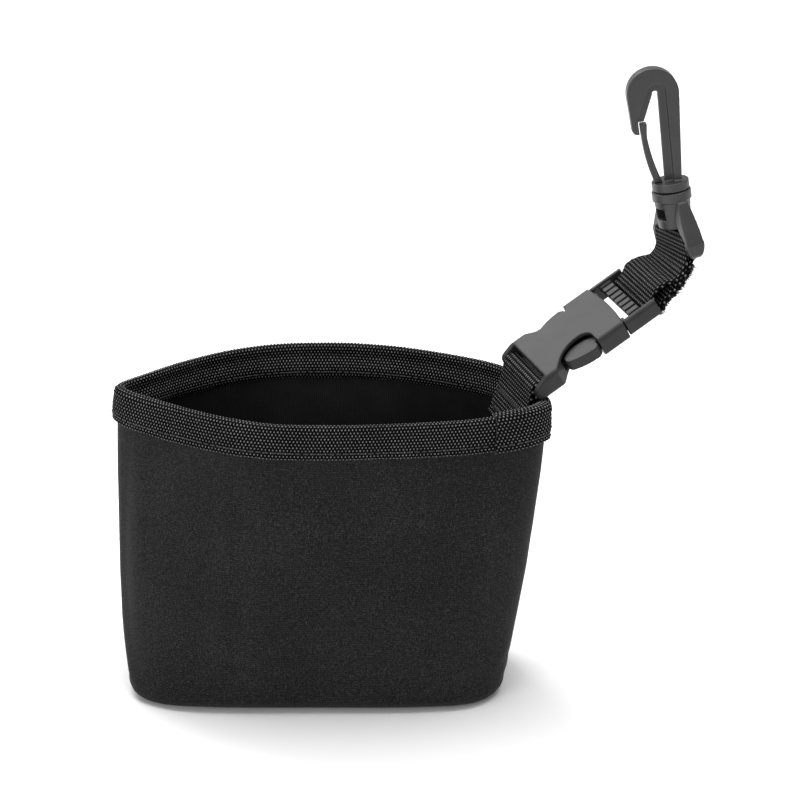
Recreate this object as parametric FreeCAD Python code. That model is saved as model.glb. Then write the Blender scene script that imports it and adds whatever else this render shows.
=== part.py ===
import FreeCAD, Part
import math
import os

from FreeCAD import Placement, Rotation, Vector

# An open treat pouch with a folded woven rim binding. A webbing loop at its right-hand end
# carries a side-release buckle, a short webbing loop and a swivel snap hook.
# Millimetres. The origin is on the underside of the base, +X towards the strap, +Y to the back.

# Pouch
HEIGHT = 123.0
PANEL = 3.0
LINING = 0.7
LAYER_GAP = 0.3
SEAM_GAP = 0.2
BASE_HALF_LENGTH = 72.0
BASE_HALF_DEPTH = 32.5
BASE_CENTRE_X = -2.0
BASE_POWER = 4.0
BASE_RADIUS = 6.0
SEAM_HALF_WIDTH = 1.5
SEAM_CLEARANCE = 0.03
WALL_BULGE = 2.0
OUTLINE_POINTS = 64

# Top edge of the outer panel, anticlockwise from the left-hand tip: a lens with a blunt right end.
RIM = [
    (-75.3, 0.0), (-69.5, -12.0), (-51.3, -21.9), (-29.5, -32.9),
    (2.0, -38.3), (34.8, -36.3), (69.2, -29.2), (86.0, -16.5),
    (82.2, -1.5), (74.8, 13.0), (57.0, 26.6), (33.4, 36.4),
    (0.0, 41.3), (-29.6, 35.9), (-51.2, 23.8), (-69.5, 12.0),
]

# Rim binding and thread
TAPE = 1.4
TAPE_LEG = 12.5
TAPE_OUTSIDE = LAYER_GAP
TAPE_INSIDE = -(PANEL + LAYER_GAP + LINING + LAYER_GAP)
THREAD = 0.3
THREAD_GAP = 0.05
THREAD_ROW = 0.5
STITCH_MARGIN = 2.5

# Webbing
WEBBING_WIDTH = 25.0
WEBBING = 1.4
LOOP_GAP = 0.25
ANCHOR_LEG_X = -5.8
ANCHOR_BEND = 2.8
ANCHOR_DIPS = (3.0, 45.0)
ANCHOR_END = -20.0
ANCHOR_LEAN = 0.1
ANCHOR_TACKS = (-10.5, -17.0)
TACK_HEIGHT = 1.5
TACK_HALF_WIDTH = 10.5
STRAP_STEPS = 8
STRAP_FOLD = (15.5, 1.6)
STRAP_FOLD_PULL = 0.9
STITCHED_STEPS = (3, 5)
STITCH_GAP = 0.1

# Buckle. BUCKLE_AXIS points from the socket to the plug, BUCKLE_TOP out of the top face.
BUCKLE_ORIGIN = Vector(80.5, 0.0, 129.1)
BUCKLE_AXIS = Vector(0.812, 0.306, 0.498)
BUCKLE_TOP = Vector(-0.428, -0.268, 0.863)
SOCKET_BAR_X = -2.8
SOCKET_BAR_RADIUS = 1.8
SOCKET_HALF_WIDTH = 15.4
SOCKET_END = -5.6
SLOT_END = 1.0
SLOT_HALF_WIDTH = 12.95
MOUTH_CORNER = 36.3
MOUTH_CENTRE = 37.7
BUCKLE_MIDDLE = 1.0
SOCKET_HALF_HEIGHT = 4.2
CAVITY_HALF_HEIGHT = 2.7
CAVITY_START = 9.5
CAVITY_HALF_WIDTH = 12.9
PLUG_START = 36.9
PLUG_END = 51.0
PLUG_HALF_WIDTH = 15.2
PLUG_HALF_HEIGHT = 3.7
LADDER_START = 40.5
LADDER_END = 45.4
LADDER_RIBS = 8
END_BAR_X = 49.0
END_BAR_RADIUS = 1.6
PRONG_HALF_HEIGHT = 2.35

# Swivel eye and hook. HOOK_STEM points up the stem, EYE_BAR along the webbing bar.
EYE_CENTRE = Vector(135.4, 21.0, 172.1)
HOOK_STEM = Vector(-0.146, 0.0565, 0.987)
EYE_BAR = Vector(0.40, -0.909, 0.111)
GATE_SIDE = Vector(-0.987, -0.063, -0.1425)
EYE_BAR_RADIUS = 1.7
ARM_INSIDE = 12.9
ARM_OUTSIDE = 15.0
FRONT_ARM_HALF_WIDTH = 3.5
BACK_ARM_HALF_WIDTH = 2.3
BARREL_BOTTOM = 7.4
BARREL_TOP = 21.5
COLLAR_BOTTOM = 17.9
COLLAR_RADIUS = 7.4
STEM_RADIUS = 2.4
STEM_CLEARANCE = 0.06
BARB_RADIUS = 3.1
WINDOW_BOTTOM = 10.9
WINDOW_TOP = 15.4
FLANGE_BOTTOM = 22.0
FLANGE_TOP = 25.2
FLANGE_RADIUS = 7.0
RIM_HALF_THICKNESS = 2.6
WEB_HALF_THICKNESS = 1.2
GATE_HALF_THICKNESS = 2.0
GATE_GAP = 0.1
CROWN_CENTRE = (2.7, 59.3)
CROWN_RADIUS = 9.7


def along(origin, x_axis, z_axis):
    """Placement whose local X lies along x_axis, and local Z as near z_axis as it can."""
    return Placement(origin, Rotation(x_axis, z_axis.cross(x_axis), z_axis, "XZY"))


def placed(shape, placement):
    """A copy of the shape moved from its local frame into the part's frame."""
    moved = shape.copy()
    moved.Placement = placement.multiply(shape.Placement)
    return moved


def unit(vector):
    """The vector's direction."""
    return vector / vector.Length


def across(vector, axis):
    """The direction of the vector's part that is square to the axis."""
    along_axis = unit(axis)
    return unit(vector - along_axis * vector.dot(along_axis))


def block(low, high):
    """A box between two opposite corners."""
    size = [b - a for a, b in zip(low, high)]
    return Part.makeBox(*size, Vector(*low))


def path_edges(steps, closed=True):
    """Edges through plan points. A step is a point, or a middle and an end point of an arc."""
    here = Vector(*steps[0])
    edges = []
    for step in steps[1:]:
        if isinstance(step[0], tuple):
            middle, end = [Vector(*point) for point in step]
            edges.append(Part.Arc(here, middle, end).toShape())
        else:
            end = Vector(*step)
            edges.append(Part.LineSegment(here, end).toShape())
        here = end
    if closed and here.distanceToPoint(Vector(*steps[0])) > 1e-6:
        edges.append(Part.LineSegment(here, Vector(*steps[0])).toShape())
    return edges


def prism(steps, low, high):
    """A plan outline, in X and Y, drawn up from Z low to Z high."""
    face = Part.Face(Part.Wire(path_edges(steps)))
    solid = face.extrude(Vector(0, 0, high - low))
    solid.translate(Vector(0, 0, low))
    return solid


def side_prism(steps, half_depth):
    """An outline drawn in X and Z, with its depth along Y on both sides of it."""
    solid = prism(steps, -half_depth, half_depth)
    solid.rotate(Vector(0, 0, 0), Vector(1, 0, 0), 90)
    return solid


def rounded_along_x(solid, radius, half_width):
    """The solid with its long outer edges, those at the half width, rounded."""
    edges = []
    for edge in solid.Edges:
        box = edge.BoundBox
        if box.XLength > 4 * box.YLength and abs(box.Center.y) > half_width - 1.5:
            edges.append(edge)
    return solid.makeFillet(radius, edges)


def bar_along_y(radius, half_length, x=0.0, z=0.0):
    """A round bar along Y."""
    return Part.makeCylinder(radius, 2 * half_length, Vector(x, -half_length, z), Vector(0, 1, 0))


# Pouch: every layer is one outline, moved in or out.

def base_point(index):
    """Corner-rounded rectangle, a superellipse, matched point for point with the rim."""
    angle = math.pi + 2 * math.pi * index / len(RIM)
    power = 2 / BASE_POWER
    x = math.copysign(abs(math.cos(angle)) ** power, math.cos(angle)) * BASE_HALF_LENGTH
    y = math.copysign(abs(math.sin(angle)) ** power, math.sin(angle)) * BASE_HALF_DEPTH
    return Vector(BASE_CENTRE_X + x, y, 0)


def smooth_ring(points):
    """A smooth closed curve through the points."""
    curve = Part.BSplineCurve()
    curve.interpolate(Points=points, PeriodicFlag=True)
    return curve


def outline(z, offset):
    """The panel's outer outline at height z, moved outwards by the offset."""
    share = z / HEIGHT
    corners = []
    for index, (x, y) in enumerate(RIM):
        base = base_point(index)
        corners.append(Vector(base.x + (x - base.x) * share, base.y + (y - base.y) * share, z))
    guide = smooth_ring(corners)
    step = (guide.LastParameter - guide.FirstParameter) / OUTLINE_POINTS
    distance = offset + WALL_BULGE * math.sin(math.pi * min(share, 1))
    points = []
    for index in range(OUTLINE_POINTS):
        at = guide.FirstParameter + index * step
        tangent = guide.tangent(at)[0]
        points.append(guide.value(at) + Vector(tangent.y, -tangent.x, 0) * distance)
    return Part.Wire(smooth_ring(points).toShape())


def wall_block(offset, low, high):
    """Everything inside the wall's outline between two heights."""
    return Part.makeLoft([outline(low, offset), outline(high, offset)], True, True)


def wall_ring(outside, inside, low, high):
    """A band that follows the wall between two offsets."""
    return wall_block(outside, low, high).cut(wall_block(inside, low - 1, high + 1))


def pouch_block(inset, top):
    """The whole pouch form moved inwards, with its rounded base edge."""
    radius = BASE_RADIUS - inset
    sections = []
    for step in range(4):
        angle = math.radians(30 * step)
        height = inset + radius * (1 - math.cos(angle))
        sections.append(outline(height, -inset - radius * (1 - math.sin(angle))))
    for height in (HEIGHT * 0.3, HEIGHT * 0.6, HEIGHT - TAPE_LEG, top):
        sections.append(outline(height, -inset))
    return Part.makeLoft(sections, True, True)


def halves(shell):
    """The shell cut into a front and a back along its side and base seams."""
    reach = 2 * HEIGHT
    front = block((-reach, -reach, -reach), (reach, -SEAM_GAP / 2, reach))
    back = block((-reach, SEAM_GAP / 2, -reach), (reach, reach, reach))
    return shell.common(front), shell.common(back)


def make_pouch():
    """Panels, linings, binding and thread of the bag."""
    top = HEIGHT - TAPE - LAYER_GAP
    panel_shell = pouch_block(0, top).cut(pouch_block(PANEL, top + 1))
    lining_outside = PANEL + LAYER_GAP
    lining_inside = lining_outside + LINING
    lining_shell = pouch_block(lining_outside, top).cut(pouch_block(lining_inside, top + 1))
    nodes = {}
    nodes["front_panel"], nodes["back_panel"] = halves(panel_shell)
    nodes["lining_front"], nodes["lining_back"] = halves(lining_shell)

    band_low = HEIGHT - TAPE_LEG
    tape = wall_ring(TAPE_OUTSIDE + TAPE, TAPE_INSIDE - TAPE, band_low, HEIGHT)
    channel = wall_block(TAPE_OUTSIDE, band_low - 1, HEIGHT - TAPE)
    channel = channel.cut(wall_block(TAPE_INSIDE, band_low - 2, HEIGHT))
    nodes["rim_binding"] = tape.cut(channel)

    row_low = band_low + STITCH_MARGIN
    row_high = row_low + THREAD_ROW
    face = TAPE_OUTSIDE + TAPE + THREAD_GAP
    nodes["binding_thread_outer"] = wall_ring(face + THREAD, face, row_low, row_high)
    face = TAPE_INSIDE - TAPE - THREAD_GAP
    nodes["binding_thread_inner"] = wall_ring(face, face - THREAD, row_low, row_high)

    seam_gap = pouch_block(lining_outside - SEAM_CLEARANCE, top + 1)
    between = pouch_block(PANEL + SEAM_CLEARANCE, top).cut(seam_gap)
    wide = SEAM_HALF_WIDTH
    low = BASE_RADIUS + 1
    reach = 2 * HEIGHT
    left = block((-reach, -wide, low), (BASE_CENTRE_X, wide, reach))
    right = block((BASE_CENTRE_X, -wide, low), (reach, wide, reach))
    run = BASE_HALF_LENGTH - 2 * BASE_RADIUS
    under = block((BASE_CENTRE_X - run, -wide, 0), (BASE_CENTRE_X + run, wide, low))
    nodes["side_seam_thread_left"] = between.common(left)
    nodes["side_seam_thread_right"] = between.common(right)
    nodes["base_seam_thread"] = between.common(under)
    return nodes


# Anchor strap: a loop round the socket's bar whose two legs run down inside the blunt end.

def ribbon(steps, thickness, width):
    """Webbing whose inner face follows a path in X and Z, with its width along Y."""
    wire = Part.Wire(path_edges(steps, closed=False))
    face = wire.makeOffset2D(thickness, fill=True, openResult=True)
    solid = face.extrude(Vector(0, 0, width))
    solid.translate(Vector(0, 0, -width / 2))
    solid.rotate(Vector(0, 0, 0), Vector(1, 0, 0), 90)
    return solid


def bend(before, corner, after, radius):
    """A corner between three points rounded off: where the arc starts, then its middle and end."""
    here = Vector(*corner)
    back = unit(Vector(*before) - here)
    on = unit(Vector(*after) - here)
    half_angle = back.getAngle(on) / 2
    run = radius / math.tan(half_angle)
    inward = unit(back + on)
    middle = here + inward * (radius / math.sin(half_angle) - radius)
    start, end = here + back * run, here + on * run
    return (start.x, start.y), ((middle.x, middle.y), (end.x, end.y))


def make_anchor():
    """The anchor webbing and its bartacks, drawn square to the socket's bar."""
    bar = BUCKLE_TOP.cross(BUCKLE_AXIS)
    up = across(Vector(0, 0, 1), bar)
    centre = BUCKLE_ORIGIN + unit(BUCKLE_AXIS) * SOCKET_BAR_X
    frame = along(centre, bar.cross(up), up)
    loop = SOCKET_BAR_RADIUS + LOOP_GAP
    outer_dip, inner_dip = (math.radians(angle) for angle in ANCHOR_DIPS)
    under = (math.sin(outer_dip) * loop, -math.cos(outer_dip) * loop)
    over = (-math.sin(inner_dip) * loop, math.cos(inner_dip) * loop)

    def leg(tangent, dip, x):
        """Corner and lower end of a leg that comes away from the bar at the tangent point."""
        corner_z = tangent[1] + (x - tangent[0]) * math.tan(dip)
        return (x, corner_z), (x + ANCHOR_LEAN * (ANCHOR_END - corner_z), ANCHOR_END)

    outer_corner, outer_end = leg(under, outer_dip, ANCHOR_LEG_X)
    inner_corner, inner_end = leg(over, inner_dip, ANCHOR_LEG_X - 0.1)
    outer_start, outer_arc = bend(outer_end, outer_corner, under, ANCHOR_BEND)
    inner_start, inner_arc = bend(over, inner_corner, inner_end, ANCHOR_BEND)
    wrap = [outer_end, outer_start, outer_arc, under, ((loop, 0.0), over)]
    strap = ribbon(wrap + [inner_start, inner_arc, inner_end], WEBBING, WEBBING_WIDTH)
    tacks = []
    for height in ANCHOR_TACKS:
        low, high = height - TACK_HEIGHT / 2, height + TACK_HEIGHT / 2
        face = inner_end[0] - WEBBING - THREAD_GAP
        low_x = face + ANCHOR_LEAN * (low - ANCHOR_END)
        high_x = face + ANCHOR_LEAN * (high - ANCHOR_END)
        shape = [(low_x, low), (high_x, high), (high_x - THREAD, high), (low_x - THREAD, low)]
        tacks.append(side_prism(shape, TACK_HALF_WIDTH))
    return {
        "anchor_strap": placed(strap, frame),
        "anchor_bartack": placed(Part.makeCompound(tacks), frame),
    }


# Buckle, drawn with X from the socket to the plug and Z out of the top face.

def mirrored(steps):
    """The outline on the other side of the X axis."""
    result = []
    for step in steps:
        if isinstance(step[0], tuple):
            result.append(tuple((x, -y) for x, y in step))
        else:
            result.append((step[0], -step[1]))
    return result


def make_socket():
    """Female half: bar, webbing slot, mouth and two side windows, of which the back one is shallow."""
    low = BUCKLE_MIDDLE - SOCKET_HALF_HEIGHT
    high = BUCKLE_MIDDLE + SOCKET_HALF_HEIGHT
    side = SOCKET_HALF_WIDTH
    plan = [
        (SOCKET_END, side),
        (MOUTH_CORNER, side),
        ((MOUTH_CENTRE, 0), (MOUTH_CORNER, -side)),
        (SOCKET_END, -side),
    ]
    body = rounded_along_x(prism(plan, low, high), 1.6, side)
    inside = SLOT_HALF_WIDTH
    body = body.cut(block((SOCKET_END - 1, -inside, low - 1), (SLOT_END, inside, high + 1)))
    cavity_low = BUCKLE_MIDDLE - CAVITY_HALF_HEIGHT
    cavity_high = BUCKLE_MIDDLE + CAVITY_HALF_HEIGHT
    reach = CAVITY_HALF_WIDTH
    body = body.cut(block((CAVITY_START, -reach, cavity_low), (MOUTH_CENTRE + 1, reach, cavity_high)))
    deep_window = [
        (24.8, side + 1),
        (24.8, 10.2),
        ((23.4, 7.0), (20.2, 6.0)),
        ((14.0, 7.3), (9.3, 11.0)),
        (5.4, side + 0.2),
        (5.4, side + 1),
    ]
    shallow_window = [
        (24.8, side + 1),
        (24.8, 13.2),
        ((24.2, 11.8), (22.6, 11.4)),
        ((15.0, 11.2), (10.4, 11.9)),
        (5.4, side + 0.2),
        (5.4, side + 1),
    ]
    for shape in (shallow_window, mirrored(deep_window)):
        body = body.cut(prism(shape, low - 1, high + 1))
    side_view = [
        (MOUTH_CENTRE + 1, low),
        (SOCKET_END + 2.6, low),
        ((SOCKET_END, 0.2), (SOCKET_END + 2.3, 3.2)),
        (1.6, high),
        (MOUTH_CENTRE + 1, high),
    ]
    body = body.common(side_prism(side_view, side + 1))
    bar = bar_along_y(SOCKET_BAR_RADIUS, inside + 0.5, SOCKET_BAR_X)
    return body.fuse(bar).removeSplitter()


def make_plug():
    """Male half: two rails, the ribbed ladder bar and the end bar that the webbing goes round."""
    low = BUCKLE_MIDDLE - PLUG_HALF_HEIGHT
    high = BUCKLE_MIDDLE + PLUG_HALF_HEIGHT
    frame = block((PLUG_START, -PLUG_HALF_WIDTH, low), (PLUG_END, PLUG_HALF_WIDTH, high))
    frame = rounded_along_x(frame, 1.6, PLUG_HALF_WIDTH)
    inside = SLOT_HALF_WIDTH
    frame = frame.cut(block((PLUG_START - 1, -inside, low - 1), (PLUG_END + 1, inside, high + 1)))
    ladder = block((LADDER_START, -inside - 0.2, 1.0), (LADDER_END, inside + 0.2, 3.6))
    pitch = 2 * inside / LADDER_RIBS
    for index in range(LADDER_RIBS):
        middle = -inside + pitch * (index + 0.5)
        groove = block((LADDER_START - 1, middle - 0.45, 2.7), (LADDER_END + 1, middle + 0.45, 4))
        ladder = ladder.cut(groove)
    end_bar = bar_along_y(END_BAR_RADIUS, inside + 0.2, END_BAR_X)
    return frame.fuse([ladder, end_bar]).removeSplitter()


def make_prongs():
    """Sprung arm and latch head, for each side. The arm's root lies against a rail of the plug."""
    arm = [
        (38.3, SLOT_HALF_WIDTH - 0.05),
        (PLUG_START, SLOT_HALF_WIDTH - 0.05),
        (PLUG_START, 12.4),
        (24.35, 12.4),
        (24.35, 14.6),
        (22.8, 15.9),
        ((16.8, 15.2), (13.0, 13.8)),
        ((11.2, 12.3), (11.4, 9.6)),
        ((14.5, 7.6), (19.0, 7.2)),
        ((22.5, 7.9), (26.0, 9.8)),
        (38.3, 9.8),
    ]
    low = BUCKLE_MIDDLE - PRONG_HALF_HEIGHT
    high = BUCKLE_MIDDLE + PRONG_HALF_HEIGHT
    return prism(arm, low, high), prism(mirrored(arm), low, high)


def make_buckle():
    """Both halves of the buckle in the part's frame."""
    frame = along(BUCKLE_ORIGIN, BUCKLE_AXIS, BUCKLE_TOP)
    left, right = make_prongs()
    local = {
        "buckle_socket": make_socket(),
        "buckle_plug": make_plug(),
        "plug_prong_left": left,
        "plug_prong_right": right,
    }
    return {name: placed(shape, frame) for name, shape in local.items()}


# Hook strap: a short loop of webbing from the plug's end bar to the eye's bar, slightly twisted.

def end_bar_centre():
    """Centre of the plug's end bar in the part's frame."""
    return BUCKLE_ORIGIN + unit(BUCKLE_AXIS) * END_BAR_X


def loop_wrap(centre, bar, start, radius):
    """Half a turn of webbing round a bar, anticlockwise about it from the start direction."""
    inner = radius + LOOP_GAP
    outer = inner + WEBBING
    wrap = Part.makeCylinder(outer, WEBBING_WIDTH, Vector(), Vector(0, 0, 1), 180)
    wrap = wrap.cut(Part.makeCylinder(inner, WEBBING_WIDTH + 2, Vector(0, 0, -1)))
    wrap.translate(Vector(0, 0, -WEBBING_WIDTH / 2))
    frame = Placement(centre, Rotation(start, bar.cross(start), bar, "ZXY"))
    return placed(wrap, frame)


def cross_section(centre, wide, thick):
    """A closed rectangle, the webbing's cross-section."""
    half_wide = wide * (WEBBING_WIDTH / 2)
    half_thick = thick * (WEBBING / 2)
    corners = [
        centre + half_wide + half_thick,
        centre - half_wide + half_thick,
        centre - half_wide - half_thick,
        centre + half_wide - half_thick,
    ]
    return Part.makePolygon(corners + corners[:1])


def strap_frames():
    """Centre, width and thickness directions and half spread of the folded strap, bar to bar."""
    start = end_bar_centre()
    bar = unit(BUCKLE_AXIS.cross(BUCKLE_TOP))
    eye_bar = unit(EYE_BAR)
    along_plug, above_plug = STRAP_FOLD
    fold = start + unit(BUCKLE_AXIS) * along_plug + across(BUCKLE_TOP, BUCKLE_AXIS) * above_plug
    leave = start + (fold - start) * STRAP_FOLD_PULL
    run_in = EYE_CENTRE - fold
    arrive = EYE_CENTRE - across(run_in, EYE_BAR) * (run_in.Length * STRAP_FOLD_PULL)
    closed = WEBBING / 2 + THREAD_GAP
    open_start = END_BAR_RADIUS + LOOP_GAP + WEBBING / 2
    open_end = EYE_BAR_RADIUS + LOOP_GAP + WEBBING / 2
    frames = []
    for index in range(STRAP_STEPS + 1):
        t = index / STRAP_STEPS
        s = 1 - t
        centre = start * s ** 3 + leave * (3 * s * s * t) + arrive * (3 * s * t * t) + EYE_CENTRE * t ** 3
        ahead = (leave - start) * (s * s) + (arrive - leave) * (2 * s * t) + (EYE_CENTRE - arrive) * (t * t)
        tangent = unit(ahead)
        twist = t * t * (3 - 2 * t)
        wide = across(bar * (1 - twist) + eye_bar * twist, tangent)
        apart = open_start * (1 - t) + open_end * t
        spread = closed + (apart - closed) * (2 * t - 1) ** 2
        frames.append((centre, wide, wide.cross(tangent), spread))
    return frames


def make_hook_strap():
    """The webbing loop and the rows of stitching that hold its legs together."""
    frames = strap_frames()
    start, wide, thick, _ = frames[0]
    wraps = [loop_wrap(start, wide, thick, END_BAR_RADIUS)]
    end, wide, thick, _ = frames[-1]
    wraps.append(loop_wrap(end, wide, -thick, EYE_BAR_RADIUS))
    legs = []
    for side in (1, -1):
        sections = [
            cross_section(centre + thick * (spread * side), wide, thick)
            for centre, wide, thick, spread in frames
        ]
        legs.append(Part.makeLoft(sections, True, True))
    strap = legs[0].fuse([legs[1]] + wraps)
    rows = []
    for step in STITCHED_STEPS:
        centre, wide, thick, spread = frames[step]
        frame = Placement(centre, Rotation(wide, thick.cross(wide), thick, "ZXY"))
        face = spread + WEBBING / 2 + STITCH_GAP
        for low, high in ((face, face + THREAD), (-face - THREAD, -face)):
            row = block((-TACK_HALF_WIDTH, -THREAD_ROW / 2, low), (TACK_HALF_WIDTH, THREAD_ROW / 2, high))
            rows.append(placed(row, frame))
    return {"hook_strap": strap, "hook_strap_stitching": Part.makeCompound(rows)}


# Swivel eye and hook, drawn with Z up the stem from the centre of the webbing bar.

def arm_leaf(wide):
    """The leaf outline of an arm seen along the webbing bar, as a solid that crosses both arms."""
    tip = min(1.6, wide - 0.7)
    leaf = [
        (tip, -2.6),
        ((wide - 0.3 * tip, -0.6), (wide, 4.0)),
        ((wide - 0.2 * tip, 10.5), (tip + 0.3, COLLAR_BOTTOM + 0.5)),
        (-tip - 0.3, COLLAR_BOTTOM + 0.5),
        ((0.2 * tip - wide, 10.5), (-wide, 4.0)),
        ((0.3 * tip - wide, -0.6), (-tip, -2.6)),
    ]
    solid = side_prism(leaf, ARM_OUTSIDE + 1)
    solid.rotate(Vector(0, 0, 0), Vector(0, 0, 1), 90)
    return solid


def make_eye():
    """Webbing bar, two leaf-shaped arms and the barrel that holds the hook's stem."""
    arm = [
        (ARM_INSIDE, -2.4),
        (ARM_OUTSIDE - 0.7, -2.4),
        (ARM_OUTSIDE, -1.4),
        (ARM_OUTSIDE, 3.0),
        (8.2, COLLAR_BOTTOM),
        (4.0, COLLAR_BOTTOM),
        (4.0, 12.5),
        (ARM_INSIDE, 3.4),
    ]
    front_arm = side_prism(arm, 5).common(arm_leaf(FRONT_ARM_HALF_WIDTH))
    back_arm = side_prism(flipped(arm), 5).common(arm_leaf(BACK_ARM_HALF_WIDTH))
    barrel = Part.makeCone(6.2, 6.8, COLLAR_BOTTOM - BARREL_BOTTOM, Vector(0, 0, BARREL_BOTTOM))
    collar_height = BARREL_TOP - COLLAR_BOTTOM
    collar = Part.makeCylinder(COLLAR_RADIUS, collar_height, Vector(0, 0, COLLAR_BOTTOM))
    reach = ARM_INSIDE + 0.5
    bar = Part.makeCylinder(EYE_BAR_RADIUS, 2 * reach, Vector(-reach, 0, 0), Vector(1, 0, 0))
    eye = barrel.fuse([collar, bar, front_arm, back_arm])
    bore = STEM_RADIUS + STEM_CLEARANCE
    eye = eye.cut(Part.makeCylinder(bore, BARREL_TOP, Vector(0, 0, WINDOW_TOP - 0.5)))
    window_half = BARB_RADIUS + 0.3
    window = block((-window_half, -COLLAR_RADIUS, WINDOW_BOTTOM), (window_half, COLLAR_RADIUS, WINDOW_TOP))
    return eye.cut(window).removeSplitter()


def flipped(steps):
    """The outline on the other side of the local Z axis."""
    result = []
    for step in steps:
        if isinstance(step[0], tuple):
            result.append(tuple((-x, y) for x, y in step))
        else:
            result.append((-step[0], step[1]))
    return result


def make_hook():
    """Flange, stem with its barb, thick outer rim and thin inner web. X is the gate's side."""
    flange = Part.makeCylinder(FLANGE_RADIUS, FLANGE_TOP - FLANGE_BOTTOM, Vector(0, 0, FLANGE_BOTTOM))
    stem_low = WINDOW_BOTTOM + 0.6
    stem = Part.makeCylinder(STEM_RADIUS, FLANGE_BOTTOM - stem_low, Vector(0, 0, stem_low))
    barb = Part.makeCone(STEM_RADIUS, BARB_RADIUS, 2.4, Vector(0, 0, WINDOW_TOP - 2.7))
    x, z = CROWN_CENTRE
    rim = [
        (-4.2, FLANGE_TOP - 0.5),
        (x - CROWN_RADIUS, z - 1.0),
        ((x, z + CROWN_RADIUS), (x + CROWN_RADIUS, z - 1.0)),
        (12.1, 51.5),
        (12.0, 46.4),
        (11.2, 45.1),
        (9.4, 44.6),
        (9.4, 50.9),
        (4.6, 60.5),
        ((0.4, 63.0), (-2.1, 59.4)),
        (-1.3, FLANGE_TOP - 0.5),
    ]
    web = [
        (-2.6, FLANGE_TOP - 0.5),
        (-3.5, 60.0),
        ((1.5, 65.5), (6.5, 60.0)),
        (10.6, 51.5),
        (10.6, 49.3),
        (7.1, 49.3),
        (2.9, 59.0),
        ((2.0, 60.2), (0.9, 58.8)),
        (2.1, FLANGE_TOP - 0.5),
    ]
    body = side_prism(rim, RIM_HALF_THICKNESS)
    body = body.fuse([side_prism(web, WEB_HALF_THICKNESS), flange, stem, barb])
    return body.removeSplitter()


def make_gate():
    """Curved sprung tongue, from the flange to the inside of the nose."""
    root = FLANGE_TOP + GATE_GAP
    gate = [
        (5.9, root),
        ((8.2, 36.0), (8.8, 44.5)),
        (8.8, 48.5),
        (6.2, 48.5),
        (6.7, 43.5),
        ((5.5, 34.7), (2.9, root)),
    ]
    return side_prism(gate, GATE_HALF_THICKNESS)


def make_swivel():
    """The eye, hook and gate in the part's frame."""
    eye_frame = along(EYE_CENTRE, across(EYE_BAR, HOOK_STEM), HOOK_STEM)
    hook_frame = along(EYE_CENTRE, across(GATE_SIDE, HOOK_STEM), HOOK_STEM)
    return {
        "swivel_eye": placed(make_eye(), eye_frame),
        "hook_body": placed(make_hook(), hook_frame),
        "hook_gate": placed(make_gate(), hook_frame),
    }


def main():
    """Write one STEP file for each piece."""
    os.makedirs("parts", exist_ok=True)
    nodes = {}
    for group in (make_pouch(), make_anchor(), make_buckle(), make_hook_strap(), make_swivel()):
        nodes.update(group)
    for name, shape in nodes.items():
        shape.exportStep(f"parts/{name}.step")
        box = shape.BoundBox
        size = f"{box.XLength:.1f} x {box.YLength:.1f} x {box.ZLength:.1f} mm"
        print(f"{name:24s} {len(shape.Solids)} solids, valid {shape.isValid()}, {size}")


main()
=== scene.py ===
"""Looks of the treat pouch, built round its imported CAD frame. Helpers and shapes work in millimetres."""
import math

import bmesh
import bpy
import numpy as np
from mathutils import Matrix, Vector, noise


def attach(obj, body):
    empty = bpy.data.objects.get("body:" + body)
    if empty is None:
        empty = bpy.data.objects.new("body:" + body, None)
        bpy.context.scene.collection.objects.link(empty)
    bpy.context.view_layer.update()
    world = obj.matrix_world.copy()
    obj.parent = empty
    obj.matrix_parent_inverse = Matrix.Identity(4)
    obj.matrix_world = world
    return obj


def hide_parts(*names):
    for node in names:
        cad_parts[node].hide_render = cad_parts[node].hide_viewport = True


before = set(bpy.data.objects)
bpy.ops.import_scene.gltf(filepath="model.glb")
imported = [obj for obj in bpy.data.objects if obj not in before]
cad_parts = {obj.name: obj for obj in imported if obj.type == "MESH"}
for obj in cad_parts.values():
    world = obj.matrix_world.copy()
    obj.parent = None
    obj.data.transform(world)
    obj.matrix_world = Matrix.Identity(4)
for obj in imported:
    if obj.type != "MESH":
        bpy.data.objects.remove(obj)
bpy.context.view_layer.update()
MM = 0.001
UP = np.array([0, 0, 1])

# ---------------------------------------------------------------- sizes

# The pouch's form is the CAD's, with a sharper left tip and fuller corners at the base.
HEIGHT = 123.0
BASE_HALF_LENGTH = 72.0
BASE_HALF_DEPTH = 32.5
BASE_CENTRE_X = -2.0
BASE_FULLNESS = 0.4
BASE_RADIUS = 6.0
WALL_BULGE = 2.0
RIM = [
    (-75.3, 0.0), (-69.0, -8.8), (-51.3, -20.8), (-29.5, -32.9),
    (2.0, -38.3), (34.8, -36.3), (69.2, -29.2), (86.0, -16.5),
    (82.2, -1.5), (74.8, 13.0), (57.0, 26.6), (33.4, 36.4),
    (0.0, 41.3), (-29.6, 35.9), (-51.2, 23.3), (-69.2, 7.6),
]
PANEL = 3.0
LINING_INSET = 3.3
LINING = 0.7
PANEL_TOP = 114.6
SEAM_GAP = 0.2
FOAM_GIVE = 1.6
ROUNDED, SHARP = 1.2, 0.01
TAPE_LOW = 110.5
TAPE_FACE = 1.7
TAPE_BACK = -5.7
TAPE = 0.9

# Nominal lengths of one face and of the rim, which turn millimetres into shares of the way round.
FACE_LENGTH = 225.0
RIM_LENGTH = 430.0
LAP_START, LAP_END = 0.405, 0.462
STITCHES = 132

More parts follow.
